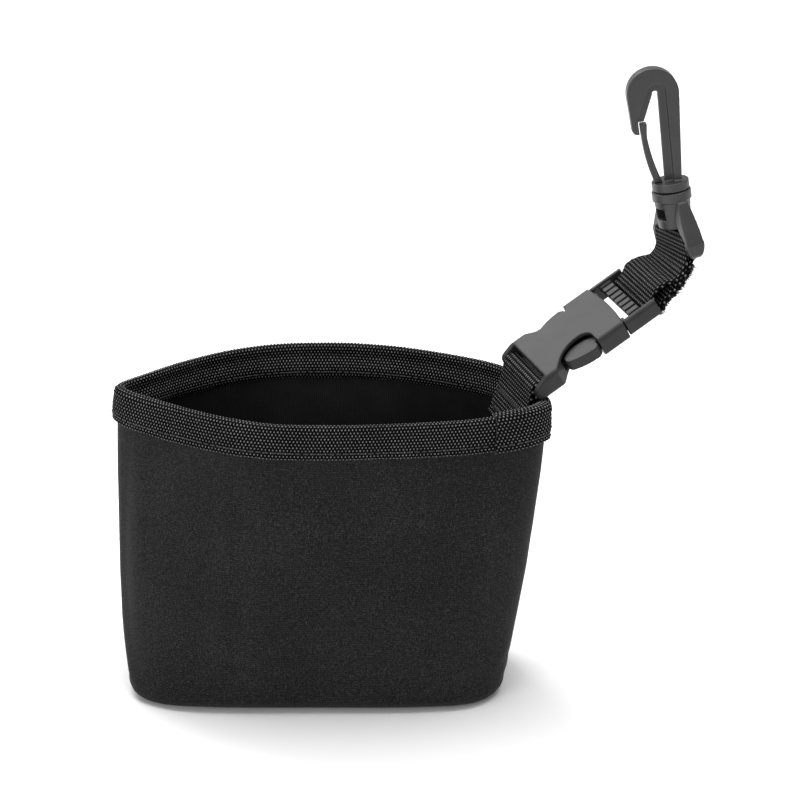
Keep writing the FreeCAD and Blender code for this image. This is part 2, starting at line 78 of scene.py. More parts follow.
# The buckle and the hook
ORIGIN = Vector((80.5, 0.0, 129.1))
SOCKET_BAR_X = -2.8
BUCKLE_AXIS = Vector((0.812, 0.306, 0.498)).normalized()
BUCKLE_TOP = Vector((-0.428, -0.268, 0.863))
END_BAR_X = 49.0
END_BAR_RADIUS = 1.6
EYE = Vector((135.4, 21.0, 172.1))
STEM = Vector((-0.146, 0.0565, 0.987)).normalized()
EYE_BAR = Vector((0.40, -0.909, 0.111)).normalized()
EYE_BAR_RADIUS = 1.7
GATE_SIDE = Vector((-0.987, -0.063, -0.1425))

# Webbing: its own sizes, the loop inside the bag, then the folded strap between the bars
WEBBING = 1.4
WEBBING_WIDTH = 25.0
LOOP_GAP = 0.25
ANCHOR_LOOP = 2.05
ANCHOR_END = -20.0
ANCHOR_TACKS = (-10.5, -17.0)
TACK_HALF_WIDTH = 9.6
STRAP_FOLD = (16.6, 2.6)
STRAP_FOLD_PULL = 0.98
STRAP_ARCH = 2.9
STRAP_EYE_REACH = 5.4
TAIL_GAP = 0.12
STITCH_ROWS = (0.375, 0.625)

# Pitches of the weaves
RIB = 1.5
YARN_PITCH = 1.25
DOT_PITCH = 1.5
DOT_ROW = 1.15

STATIONS = 1150
SPACING = 0.38
WEBBING_POINTS = 61
VOXEL = 0.28
PASSES = 5
KEPT_FACES = 0.6
COLUMNS = 150
WALL_ROWS = 56
LAP_STATIONS = 72


def across(vector, axis):
    """The direction of the vector's part that is square to the axis."""
    return (vector - axis * vector.dot(axis)).normalized()


def local_frame(origin, x_axis, z_axis, exact):
    """4x4 matrix of a frame; exact says which of the two axes is kept as given."""
    x_axis, z_axis = x_axis.normalized(), z_axis.normalized()
    if exact == "x":
        z_axis = across(z_axis, x_axis)
    else:
        x_axis = across(x_axis, z_axis)
    y_axis = z_axis.cross(x_axis)
    rotation = Matrix((x_axis, y_axis, z_axis)).transposed().to_4x4()
    return Matrix.Translation(origin) @ rotation


BUCKLE = local_frame(ORIGIN, BUCKLE_AXIS, BUCKLE_TOP, "x")
EYE_FRAME = local_frame(EYE, EYE_BAR, STEM, "z")
HOOK_FRAME = local_frame(EYE, GATE_SIDE, STEM, "z")


# ---------------------------------------------------------------- curves and meshes

class ClosedSpline:
    """A smooth closed curve through points, spaced by the distance between them."""

    def __init__(self, points):
        self.points = np.asarray(points, float)
        count = len(self.points)
        following = np.roll(self.points, -1, 0)
        self.step = np.linalg.norm(following - self.points, axis=1)
        self.start = np.concatenate([[0], np.cumsum(self.step)])
        system = np.zeros((count, count))
        right = np.zeros_like(self.points)
        slope = (following - self.points) / self.step[:, None]
        for i in range(count):
            system[i, i - 1] += self.step[i - 1]
            system[i, i] += 2 * (self.step[i - 1] + self.step[i])
            system[i, (i + 1) % count] += self.step[i]
            right[i] = 6 * (slope[i] - slope[i - 1])
        self.bend = np.linalg.solve(system, right)

    def at(self, share):
        """Positions and directions at shares of the way round."""
        distance = np.mod(np.asarray(share, float), 1) * self.start[-1]
        i = np.clip(np.searchsorted(self.start, distance, "right") - 1, 0, len(self.step) - 1)
        j = (i + 1) % len(self.step)
        h = self.step[i][:, None]
        s = (distance - self.start[i])[:, None]
        r = h - s
        a, b = self.bend[i], self.bend[j]
        p, q = self.points[i], self.points[j]
        place = (a * r ** 3 + b * s ** 3) / (6 * h) + (p / h - a * h / 6) * r + (q / h - b * h / 6) * s
        along = (b * s ** 2 - a * r ** 2) / (2 * h) + (q - p) / h - (b - a) * h / 6
        return place, along / np.linalg.norm(along, axis=1)[:, None]


def base_corner(index):
    """Corner-rounded rectangle of the base, matched point for point with the rim."""
    angle = math.pi + 2 * math.pi * index / len(RIM)
    x = math.copysign(abs(math.cos(angle)) ** BASE_FULLNESS, math.cos(angle))
    y = math.copysign(abs(math.sin(angle)) ** BASE_FULLNESS, math.sin(angle))
    return BASE_CENTRE_X + x * BASE_HALF_LENGTH, y * BASE_HALF_DEPTH


def wall_spline(z):
    """The outer outline at a height, before its bulge."""
    share = z / HEIGHT
    corners = []
    for index, rim in enumerate(RIM):
        base = base_corner(index)
        corners.append([b + (r - b) * share for b, r in zip(base, rim)])
    return ClosedSpline(corners)


SPLINES = {}
SEAMS = {}


def wall(z, share, offset):
    """Points of the wall at a height, moved out from the outer outline."""
    key = round(z, 4)
    if key not in SPLINES:
        SPLINES[key] = wall_spline(z)
    place, along = SPLINES[key].at(share)
    out = np.stack([along[:, 1], -along[:, 0]], 1)
    bulge = WALL_BULGE * math.sin(math.pi * min(z / HEIGHT, 1))
    distance = np.asarray(offset, float) + bulge
    flat = place + out * np.broadcast_to(distance, (len(place),))[:, None]
    turn = np.mod(np.asarray(share, float), 1)
    flat[:, 1] = np.where(turn < 0.15, np.minimum(flat[:, 1], -0.02), flat[:, 1])
    flat[:, 1] = np.where(turn > 0.85, np.maximum(flat[:, 1], 0.02), flat[:, 1])
    return np.column_stack([flat, np.full(len(flat), z)])


def seam_share(z):
    """Where the outline crosses from front to back at its right-hand end."""
    key = round(z, 4)
    if key in SEAMS:
        return SEAMS[key]
    low, high = 0.4, 0.62
    for _ in range(30):
        middle = (low + high) / 2
        if wall(z, [middle], 0)[0][1] < 0:
            low = middle
        else:
            high = middle
    SEAMS[key] = low
    return low


def value_noise(x, y, z, scale, seed):
    """Smooth noise from about -1 to 1 with features of the given size in millimetres."""
    return noise.noise(Vector((x / scale + seed, y / scale - seed, z / scale + 2.7 * seed)))


def make_object(name, points, faces, material, body, uvs):
    """A mesh object from points in millimetres that rides on a body."""
    mesh = bpy.data.meshes.new(name)
    mesh.from_pydata([tuple(p) for p in np.asarray(points) * MM], [], faces)
    layer = mesh.uv_layers.new(name="UVMap")
    corners = np.empty(len(mesh.loops), int)
    mesh.loops.foreach_get("vertex_index", corners)
    layer.data.foreach_set("uv", np.asarray(uvs, float)[corners].ravel())
    mesh.validate()
    obj = bpy.data.objects.new(name, mesh)
    bpy.context.scene.collection.objects.link(obj)
    tidy_normals(obj)
    mesh.polygons.foreach_set("use_smooth", [True] * len(mesh.polygons))
    mesh.materials.append(material)
    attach(obj, body)
    return obj


def tidy_normals(obj):
    """All faces look outwards."""
    work = bmesh.new()
    work.from_mesh(obj.data)
    bmesh.ops.recalc_face_normals(work, faces=work.faces)
    work.to_mesh(obj.data)
    work.free()


def grid_faces(rows, columns, start=0, close_rows=False, close_columns=False):
    """Quads of a grid of points stored row by row."""
    faces = []
    for r in range(rows if close_rows else rows - 1):
        for c in range(columns if close_columns else columns - 1):
            a = start + r * columns + c
            b = start + r * columns + (c + 1) % columns
            d = start + ((r + 1) % rows) * columns + c
            e = start + ((r + 1) % rows) * columns + (c + 1) % columns
            faces.append((a, b, e, d))
    return faces


def tube_faces(rings, sides, start):
    """Faces of a tube with closed ends."""
    faces = grid_faces(rings, sides, start, False, True)
    faces.append(tuple(range(start, start + sides))[::-1])
    faces.append(tuple(range(start + (rings - 1) * sides, start + rings * sides)))
    return faces


def smooth_step(value):
    """0 to 1 with level ends."""
    value = max(0.0, min(1.0, value))
    return value * value * (3 - 2 * value)


# ---------------------------------------------------------------- materials

class Nodes:
    """A material built node by node."""

    def __init__(self, name):
        self.material = bpy.data.materials.new(name)
        self.material.use_nodes = True
        self.tree = self.material.node_tree
        self.shader = self.tree.nodes["Principled BSDF"]

    def add(self, kind, values=None, **settings):
        """A node with its settings, and values or links for its inputs."""
        node = self.tree.nodes.new("ShaderNode" + kind)
        for key, value in settings.items():
            setattr(node, key, value)
        for key, value in (values or {}).items():
            self.put(node.inputs[key], value)
        return node

    def put(self, socket, value):
        """A constant or a link."""
        if isinstance(value, bpy.types.NodeSocket):
            self.tree.links.new(value, socket)
        else:
            socket.default_value = value

    def math(self, operation, a, b=0.0):
        """One sum."""
        return self.add("Math", {0: a, 1: b}, operation=operation).outputs[0]

    def total(self, *terms, plus=0.0):
        """Values times their weights, added up."""
        result = plus
        for value, weight in terms:
            result = self.math("ADD", self.math("MULTIPLY", value, weight), result)
        return result

    def wave(self, vector, scale, distortion, detail=2.0, detail_scale=1.0, bands="X"):
        """Value of a wave texture."""
        values = {"Vector": vector, "Scale": scale, "Distortion": distortion}
        values.update({"Detail": detail, "Detail Scale": detail_scale})
        return self.add("TexWave", values, bands_direction=bands).outputs["Fac"]

    def noise(self, vector, scale, detail=3.0, rough=0.55):
        """Noise texture's value."""
        values = {"Vector": vector, "Scale": scale, "Detail": detail, "Roughness": rough}
        return self.add("TexNoise", values).outputs["Fac"]

    def ramp(self, value, stops):
        """Colours between positions."""
        node = self.add("ValToRGB", {"Fac": value})
        while len(node.color_ramp.elements) < len(stops):
            node.color_ramp.elements.new(0.5)
        for element, (position, colour) in zip(node.color_ramp.elements, stops):
            element.position = position
            element.color = (*colour, 1)
        return node.outputs["Color"]

    def bump(self, height, distance, strength):
        """Bump from a height, in metres for a height of one."""
        values = {"Height": height, "Distance": distance, "Strength": strength}
        return self.add("Bump", values).outputs["Normal"]

    def shade(self, **values):
        """Sets the shader's inputs."""
        for key, value in values.items():
            self.put(self.shader.inputs[key.replace("_", " ")], value)
        return self.material


def grey(level, warm=0.0):
    """A near-neutral colour."""
    return (level * (1 + warm), level, level * (1 - warm))


def shell_fabric():
    """Smooth coated knit over foam: fine speckle, faint knit lines and a soft sheen."""
    n = Nodes("shell_fabric")
    place = n.add("TexCoord").outputs["Object"]
    uv = n.add("UVMap").outputs["UV"]
    speckle = n.noise(place, 1900.0, 2.0, 0.7)
    broad = n.noise(place, 26.0, 3.0, 0.5)
    knit = n.wave(uv, 4.2, 1.1, 1.0, 9.0)
    across_knit = n.wave(uv, 3.4, 1.4, 1.0, bands="Y")
    lines = n.math("MULTIPLY", knit, across_knit)
    mix = n.total((speckle, 0.9), (lines, 0.12), (broad, 0.14), plus=-0.07)
    colour = n.ramp(mix, [(0.38, grey(0.002)), (0.5, grey(0.008)), (0.62, grey(0.032, -0.02))])
    normal = n.bump(n.total((lines, 0.5), (speckle, 1.0)), 0.00016, 0.55)
    roughness = n.total((speckle, 0.2), plus=0.68)
    return n.shade(
        Base_Color=colour, Roughness=roughness, Normal=normal, Sheen_Weight=0.04,
        Sheen_Roughness=0.45, Specular_IOR_Level=0.16,
    )


def lining_fabric():
    """Thin dull lining with a fine vertical weave."""
    n = Nodes("lining_fabric")
    place = n.add("TexCoord").outputs["Object"]
    uv = n.add("UVMap").outputs["UV"]
    weave = n.total((n.wave(uv, 3.4, 1.8, 2.0, 3.0), 0.75), (n.wave(uv, 5.5, 0.8, bands="Y"), 0.25))
    broad = n.noise(place, 45.0, 4.0, 0.6)
    mix = n.total((weave, 0.45), (broad, 0.55))
    colour = n.ramp(mix, [(0.25, grey(0.006)), (0.55, grey(0.013)), (0.8, grey(0.03))])
    normal = n.bump(weave, 0.00012, 0.6)
    return n.shade(
        Base_Color=colour, Roughness=0.7, Normal=normal, Sheen_Weight=0.03, Specular_IOR_Level=0.2,
    )


def woven(name, dark, light, yarn, rows, columns, row_height, pitch):
    """Woven nylon: painted highlights as bright dots in staggered rows, which match the mesh's own, and
    painted shade in its grooves.
    """
    n = Nodes(name)
    place = n.add("TexCoord").outputs["Object"]
    uv = n.add("UVMap").outputs["UV"]
    fibres = n.wave(uv, yarn, 2.2, 2.0, 2.0)
    cross = n.wave(uv, yarn * 0.62, 1.5, bands="DIAGONAL")
    lint = n.noise(place, 950.0, 3.0, 0.65)
    patch = n.noise(place, 60.0, 2.0, 0.5)
    parts = n.add("SeparateXYZ", {"Vector": uv})
    up = n.math("MULTIPLY", parts.outputs[rows], 10 / row_height)
    row = n.math("ROUND", up)
    shift = n.math("MULTIPLY", n.math("PINGPONG", row, 1.0), 0.5)
    turn = n.total((parts.outputs[columns], 10 / pitch), (shift, 1.0))
    # Crest profile: it lightens the rib crests and darkens the grooves in the colour, as painted highlight
    # and painted shade.
    ridge = n.math("COSINE", n.math("MULTIPLY", n.math("SUBTRACT", up, row), math.pi))
    # The dots are painted highlights on the yarn crests, not a yarn colour.
    dot = n.math("MULTIPLY", n.math("COSINE", n.math("MULTIPLY", turn, 2 * math.pi)), ridge)
    cloth = n.total((fibres, 0.15), (lint, 0.39), (patch, 0.15))
    mix = n.total((cloth, 1.0), (dot, 0.38), (ridge, 0.3), plus=-0.043)
    colour = n.ramp(mix, [(0.54, grey(dark)), (0.7, grey(dark + light / 22)), (0.88, grey(light))])
    normal = n.bump(n.total((fibres, 0.7), (cross, 0.4), (lint, 1.0)), 0.00012, 0.7)
    roughness = n.total((lint, 0.25), plus=0.4)
    return n.shade(
        Base_Color=colour, Roughness=roughness, Normal=normal, Sheen_Weight=0.01,
        Sheen_Roughness=0.4, Specular_IOR_Level=0.03,
    )


def moulded_plastic(name, dark, light, rough, gloss):
    """Satin moulded plastic: fine spark-eroded grain, faint flow marks and light scuffs."""
    n = Nodes(name)
    place = n.add("TexCoord").outputs["Object"]
    grain = n.noise(place, 2600.0, 2.0, 0.6)
    flow = n.noise(place, 90.0, 4.0, 0.6)
    turned = {"Vector": place, "Scale": (260.0, 900.0, 420.0), "Rotation": (0.4, 0.3, 0.9)}
    stretched = n.add("Mapping", turned)
    scuff = n.noise(stretched.outputs["Vector"], 1.0, 5.0, 0.75)
    scuffs = n.ramp(scuff, [(0.0, grey(0.0)), (0.62, grey(0.0)), (0.74, grey(1.0))])
    base = n.ramp(n.total((flow, 0.7), (grain, 0.3)), [(0.3, grey(dark)), (0.7, grey(light))])
    blend = n.add("Mix", data_type="RGBA")
    n.put(blend.inputs[0], n.math("MULTIPLY", scuffs, 0.2))
    n.put(blend.inputs[6], base)
    n.put(blend.inputs[7], (0.06, 0.06, 0.062, 1))
    normal = n.bump(n.total((grain, 1.0), (flow, 0.8)), 0.00005, 0.6)
    roughness = n.total((grain, 0.12), (scuffs, 0.12), plus=rough)
    return n.shade(Base_Color=blend.outputs[2], Roughness=roughness, Normal=normal, Specular_IOR_Level=gloss)


def twisted_thread():
    """Polyester sewing thread with its twist."""
    n = Nodes("twisted_thread")
    place = n.add("TexCoord").outputs["Object"]
    uv = n.add("UVMap").outputs["UV"]
    twist = n.wave(uv, 5.0, 0.6, bands="DIAGONAL")
    lint = n.noise(place, 2200.0, 2.0, 0.6)
    mix = n.total((twist, 0.6), (lint, 0.4))
    colour = n.ramp(mix, [(0.2, grey(0.006)), (0.8, grey(0.03))])
    normal = n.bump(mix, 0.0001, 0.7)
    return n.shade(
        Base_Color=colour, Roughness=0.5, Normal=normal, Sheen_Weight=0.05, Specular_IOR_Level=0.35,
    )


def floor_material():
    """Plain pale paper."""
    n = Nodes("floor_paper")
    place = n.add("TexCoord").outputs["Object"]
    colour = n.ramp(n.noise(place, 3.0, 2.0), [(0.2, grey(0.93)), (0.8, grey(0.95))])
    return n.shade(Base_Color=colour, Roughness=0.9, Specular_IOR_Level=0.1)


SHELL = shell_fabric()
LINING_CLOTH = lining_fabric()
TAPE_WEAVE = woven("binding_weave", 0.002, 0.19, 6.0, "Y", "X", DOT_ROW, DOT_PITCH)
STRAP_WEAVE = woven("webbing_weave", 0.002, 0.2, 7.0, "X", "Y", RIB, YARN_PITCH)
# A darker copy of the webbing weave, with its painted highlights dimmed, for the tail folded behind the
# loop.
TAIL_WEAVE = woven("webbing_weave_dim_highlights", 0.002, 0.03, 7.0, "X", "Y", RIB, YARN_PITCH)
BUCKLE_PLASTIC = moulded_plastic("buckle_plastic_satin", 0.017, 0.027, 0.39, 0.27)
HOOK_PLASTIC = moulded_plastic("hook_plastic_satin", 0.020, 0.034, 0.33, 0.62)
THREAD = twisted_thread()


# ---------------------------------------------------------------- the bag's shells

def section_rows(inset):
    """Heights and offsets of the wall's rows: round the base edge, then up."""
    radius = BASE_RADIUS - inset
    result = []
    for step in range(8):
        angle = math.radians(90 * step / 7)
        result.append((inset + radius * (1 - math.cos(angle)), -inset - radius * (1 - math.sin(angle))))
    start = result[-1][0]
    for step in range(1, WALL_ROWS + 1):
        result.append((start + (PANEL_TOP - start) * step / WALL_ROWS, -inset))
    return result


def edge_round(distance, radius):
    """How far a face drops near an edge that is rounded off."""
    near = np.clip(1 - np.asarray(distance, float) / radius, 0, 1)
    return radius * (1 - np.sqrt(1 - near ** 2))


def face_span(side, z):
    """Shares of the way round between which the front (-1) or the back (+1) face runs."""
    seam = seam_share(z)
    return (0.0, seam) if side < 0 else (seam, 1.0)


def half_face(side, inset, relief, edge):
    """Grid of points of one face of the front (-1) or back (+1) half, from the base seam up."""
    ends = np.array([0.0, 0.15, 0.4, 0.8, 1.3]) / FACE_LENGTH
    first = 2.2 / FACE_LENGTH
    shares = np.concatenate([ends, np.linspace(first, 1 - first, COLUMNS), 1 - ends[::-1]])
    distance = np.minimum(shares, 1 - shares) * FACE_LENGTH
    grid, uvs = [], []
    for z, offset in section_rows(inset):
        start, end = face_span(side, max(z, 0.01))
        share = start + (end - start) * shares
        drop = edge_round(distance, edge)
        points = wall(z, share, offset - drop)
        if relief is not None:
            rise = np.array([relief(p[0], p[1], p[2], s) for p, s in zip(points, share)])
            rise *= np.clip(distance / 12, 0, 1)
            points = wall(z, share, offset - drop + rise)
        limit = SEAM_GAP / 2
        points[:, 1] = np.minimum(points[:, 1], -limit) if side < 0 else np.maximum(points[:, 1], limit)
        grid.append(points)
        uvs.append(np.column_stack([share * 45.0, np.full(len(share), z / 10)]))
    floor = grid[0]
    under, under_uv = [], []
    for share in (1.0, 0.97, 0.9, 0.7, 0.5, 0.3, 0.15):
        row = floor.copy()
        row[:, 1] += (side * SEAM_GAP / 2 - row[:, 1]) * share
        if share > 0.96:
            row[:, 2] += edge * 0.35 * (share - 0.96) / 0.04
        under.append(row)
        under_uv.append(np.column_stack([row[:, 0] / 10, np.full(len(row), -3.0 * share)]))
    return np.array(under + grid), np.array(under_uv + uvs)


def half_shell(name, side, inset, thickness, material, outside, inside, edge):
    """One half of a layer as a closed shell of two faces and their edges."""
    outer, outer_uv = half_face(side, inset, outside, edge)
    inner, inner_uv = half_face(side, inset + thickness, inside, SHARP)
    count_rows, count_columns = outer.shape[:2]
    total = count_rows * count_columns
    faces = grid_faces(count_rows, count_columns)
    faces += [tuple(reversed(f)) for f in grid_faces(count_rows, count_columns, total)]
    border = [(0, c) for c in range(count_columns)]
    border += [(r, count_columns - 1) for r in range(1, count_rows)]
    border += [(count_rows - 1, c) for c in range(count_columns - 2, -1, -1)]
    border += [(r, 0) for r in range(count_rows - 2, 0, -1)]
    ring = [r * count_columns + c for r, c in border]
    for a, b in zip(ring, ring[1:] + ring[:1]):
        faces.append((a, b, b + total, a + total))
    points = np.concatenate([outer.reshape(-1, 3), inner.reshape(-1, 3)])
    uvs = np.concatenate([outer_uv.reshape(-1, 2), inner_uv.reshape(-1, 2)])
    return make_object(name, points, faces, material, "pouch", uvs)


class Drape:
    """One face of the foam-backed wall, simulated as a slightly roomy sheet held at its seams."""

    ROWS, COLUMNS = 46, 84
    LOW, HIGH = 2.0, 112.0
    FRAMES = 40
    PUSH = 0.6

    def __init__(self, side):
        self.side = side
        self.move = np.zeros((self.ROWS, self.COLUMNS))
        self.simulate()

    def simulate(self):
        """Lets the sheet settle under its weight and the foam's push, and keeps how far it moves out."""
        grid = []
        for z in np.linspace(self.LOW, self.HIGH, self.ROWS):
            start, end = face_span(self.side, z)
            grid.append(wall(z, np.linspace(start + 0.004, end - 0.004, self.COLUMNS), 0))
        grid = np.array(grid)
        mesh = bpy.data.meshes.new("drape")
        points = [tuple(p) for p in grid.reshape(-1, 3) * MM]
        mesh.from_pydata(points, [], grid_faces(self.ROWS, self.COLUMNS))
        sheet = bpy.data.objects.new("drape", mesh)
        bpy.context.scene.collection.objects.link(sheet)
        held = sheet.vertex_groups.new(name="held")
        inside = np.zeros(grid.shape[:2], bool)
        inside[1:-1, 1:-1] = True
        held.add([int(i) for i in np.flatnonzero(~inside.ravel())], 1.0, "REPLACE")
        cloth = sheet.modifiers.new("cloth", "CLOTH")
        settings = cloth.settings
        settings.vertex_group_mass = "held"
        settings.quality = 6
        settings.mass = 0.3
        settings.tension_stiffness = settings.compression_stiffness = 15
        settings.shear_stiffness = 5
        settings.bending_stiffness = 3
        settings.shrink_min = -0.004
        settings.use_pressure = True
        settings.uniform_pressure_force = self.PUSH * (-self.side)
        cloth.collision_settings.use_collision = False
        for moment in range(1, self.FRAMES + 1):
            bpy.context.scene.frame_set(moment)
        result = sheet.evaluated_get(bpy.context.evaluated_depsgraph_get()).data
        moved = np.empty(len(result.vertices) * 3)
        result.vertices.foreach_get("co", moved)
        out = np.cross(np.gradient(grid, axis=1), np.gradient(grid, axis=0))
        out /= np.linalg.norm(out, axis=2)[:, :, None]
        rise = ((moved.reshape(grid.shape) / MM - grid) * out).sum(2)
        self.move = FOAM_GIVE * np.tanh(rise / (2 * FOAM_GIVE))
        bpy.context.scene.frame_set(1)
        bpy.data.objects.remove(sheet)

    def relief(self, x, y, z, share):
        """How far the wall stands out of its form at a point, none of it under the binding."""
        start, end = face_span(self.side, z)
        column = np.clip((share - start) / (end - start), 0, 1) * (self.COLUMNS - 1.001)
        row = np.clip((z - self.LOW) / (self.HIGH - self.LOW), 0, 1) * (self.ROWS - 1.001)
        r, c = int(row), int(column)
        u, v = row - r, column - c
        low = self.move[r, c] * (1 - v) + self.move[r, c + 1] * v
        high = self.move[r + 1, c] * (1 - v) + self.move[r + 1, c + 1] * v
        fade = max(0.0, min(1.0, (self.HIGH - z) / 10))
        soft = 0.35 * value_noise(x, y, z, 46.0, 3.0) + 0.2 * value_noise(x, y, z, 17.0, 7.0)
        return (low * (1 - u) + high * u + soft * max(0.15, min(1.0, z / 25))) * fade


# Creases of the lining: share of the way round, half width as a share, height in millimetres
CREASES = (
    (0.60, 0.010, 1.0), (0.66, 0.006, 0.7), (0.70, 0.012, 1.0), (0.745, 0.007, 0.8),
    (0.80, 0.012, 1.1), (0.86, 0.008, 0.9), (0.12, 0.012, 0.8), (0.22, 0.010, 0.7),
    (0.31, 0.012, 0.9), (0.40, 0.009, 0.8),
)


def lining_relief(x, y, z, share):
    """Faint upright creases of the loose lining, standing in from the wall."""
    crease = 0.0
    for middle, wide, tall in CREASES:
        lean = 0.010 * math.sin(z / 31 + middle * 40)
        crease += tall * math.exp(-((share - middle - lean) / wide) ** 2)
    ripple = 0.5 + 0.5 * value_noise(x, y, z, 24.0, 5.0)
    return -(0.9 * crease * ripple + 0.5 * ripple) * max(0.0, min(1.0, (z - 4) / 20))


bag_front = half_shell("bag_front", -1, 0.0, PANEL, SHELL, Drape(-1).relief, None, ROUNDED)
bag_back = half_shell("bag_back", 1, 0.0, PANEL, SHELL, Drape(1).relief, None, ROUNDED)
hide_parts("front_panel", "base_seam_thread")
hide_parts("back_panel", "side_seam_thread_left", "side_seam_thread_right")
lining_front = half_shell(
    "lining_front_cloth", -1, LINING_INSET, LINING, LINING_CLOTH, None, lining_relief, SHARP
)
lining_back = half_shell(
    "lining_back_cloth", 1, LINING_INSET, LINING, LINING_CLOTH, None, lining_relief, SHARP
)
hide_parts("lining_front")
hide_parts("lining_back")

# ---------------------------------------------------------------- binding

def tape_profile(low, face, back, crown):
    """Closed cross-section of the folded tape: offset, height and how much weave each point carries."""
    crest = 2.6
    shoulder = crown - crest

    def face_at(z):
        return face - 0.5 * smooth_step((z - 115.5) / 5)

    def back_at(z):
        return back + 2.9 * smooth_step((z - 113.5) / 6.5)

    middle = (face_at(shoulder) + back_at(shoulder)) / 2
    half = (face_at(shoulder) - back_at(shoulder)) / 2
    outline = [(face_at(z), z) for z in np.arange(low + 0.35, shoulder, SPACING)]
    for angle in np.arange(0, 180.01, 180 * SPACING / (2.2 * half + 3.5)):
        c, s = math.cos(math.radians(angle)), math.sin(math.radians(angle))
        outline.append((middle + half * math.copysign(abs(c) ** 0.85, c), shoulder + crest * s ** 0.9))
    outline += [(back_at(z), z) for z in np.arange(shoulder - SPACING, low + 0.3, -SPACING)]
    weave = [1.0] * len(outline)
    inner = [(back + TAPE * 0.3, low), (back + TAPE * 0.8, low + 0.1)]
    for z in (low + 1, 113.5, 116.0, 118.5):
        inner.append((back_at(z) + TAPE, z))
    inner += [(middle, shoulder + 0.6)]
    for z in (118.5, 116.0, 113.5, low + 1):
        inner.append((face_at(z) - TAPE, z))
    inner += [(face - TAPE * 0.8, low + 0.1), (face - TAPE * 0.3, low)]
    return outline + inner, weave + [0.0] * len(inner)


def tape_band(name, start, end, low, face, back, crown, stations, closed, tilt):
    """The tape swept round the rim, with its weave modelled in its surface."""
    profile, weave = tape_profile(low, face, back, crown)
    weave = np.array(weave)
    run = np.concatenate([[0], np.cumsum(np.linalg.norm(np.diff(np.array(profile), axis=0), axis=1))])
    shares = start + (end - start) * np.arange(stations) / (stations if closed else stations - 1)
    grid = np.array([wall(z, shares, offset) for offset, z in profile])
    following = np.roll(grid, -1, 0) - np.roll(grid, 1, 0)
    round_rim = np.gradient(grid, axis=1)
    if closed:
        round_rim[:, 0] = grid[:, 1] - grid[:, -1]
        round_rim[:, -1] = grid[:, 0] - grid[:, -2]
    normal = np.cross(round_rim, following)
    normal /= np.linalg.norm(normal, axis=2)[:, :, None]
    distance = shares * RIM_LENGTH
    along = distance[None, :]
    up = run[:, None]
    slant = along + 0.35 * np.sin(along / 17) + tilt * up
    row = np.round(up / DOT_ROW)
    bead = np.cos(2 * math.pi * (slant / DOT_PITCH + 0.5 * (row % 2)))
    bead = bead * np.cos(math.pi * (up / DOT_ROW - row))
    wander = np.array([value_noise(a, 3.0, 0.0, 26.0, 9.0) for a in distance])[None, :]
    edge = np.array([value_noise(a, 0.0, 5.0, 9.0, 4.0) for a in distance])[None, :]
    lift = weave[:, None] * (0.27 * bead + 0.28 * wander)
    grid = grid + normal * lift[:, :, None]
    heights = np.array([z for _, z in profile])[:, None]
    sag = (0.35 * wander + 0.25 * edge) * np.clip((low + 8 - heights) / 8, 0, 1)
    grid[:, :, 2] += sag
    count = len(profile)
    faces = grid_faces(count, stations, 0, True, closed)
    if not closed:
        faces.append(tuple(range(0, count * stations, stations)))
        faces.append(tuple(range(stations - 1, count * stations, stations))[::-1])
    uvs = np.stack([np.broadcast_to(slant, grid.shape[:2]), np.broadcast_to(up, grid.shape[:2])], 2)
    points, uvs = grid.reshape(-1, 3), uvs.reshape(-1, 2) / 10
    return make_object(name, points, faces, TAPE_WEAVE, "pouch", uvs)


rim_tape = tape_band(
    "rim_tape", 0.0, 1.0, TAPE_LOW, TAPE_FACE, TAPE_BACK, HEIGHT + 0.2, STATIONS, True, 0.0
)
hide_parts("rim_binding")
tape_band(
    "rim_tape_lap", LAP_START, LAP_END, TAPE_LOW - 0.4, TAPE_FACE + 1.15, TAPE_BACK - 1.1, HEIGHT + 1.3,
    LAP_STATIONS, False, 0.25
)


def stitch_row(name, starts, z, offset, nodes):
    """A row of separate stitches, each a short thread that dips in at both ends."""
    points, faces, uvs = [], [], []
    sides, rings, radius = 6, 7, 0.32
    for first in starts:
        share = first + 0.72 / STITCHES * np.linspace(0, 1, rings)
        rise = radius * (0.75 * np.sin(math.pi * np.linspace(0, 1, rings)) - 0.45)
        line = wall(z, share, offset + rise)
        out = wall(z, share, offset + rise + 1) - line
        for i in range(rings):
            size = radius * (0.55 if i in (0, rings - 1) else 1.0)
            for k in range(sides):
                angle = 2 * math.pi * k / sides
                points.append(line[i] + (out[i] * math.cos(angle) + UP * math.sin(angle)) * size)
                uvs.append((i * 0.05, k * 0.03))
        faces += tube_faces(rings, sides, len(points) - rings * sides)
    obj = make_object(name, points, faces, THREAD, "pouch", uvs)
    if nodes:
        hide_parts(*nodes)
    return obj


all_starts = np.arange(STITCHES) / STITCHES
outer_starts = [f for f in all_starts if not 0.40 < f < LAP_END]
lap_starts = [f for f in all_starts if LAP_START < f < 0.455]
stitch_row("rim_stitches_outer", outer_starts, 113.2, TAPE_FACE + 0.15, ["binding_thread_outer"])
stitch_row("rim_stitches_lap", lap_starts, 113.0, TAPE_FACE + 1.3, [])
stitch_row("rim_stitches_inner", all_starts, 113.2, TAPE_BACK - 0.15, ["binding_thread_inner"])

# ---------------------------------------------------------------- webbing

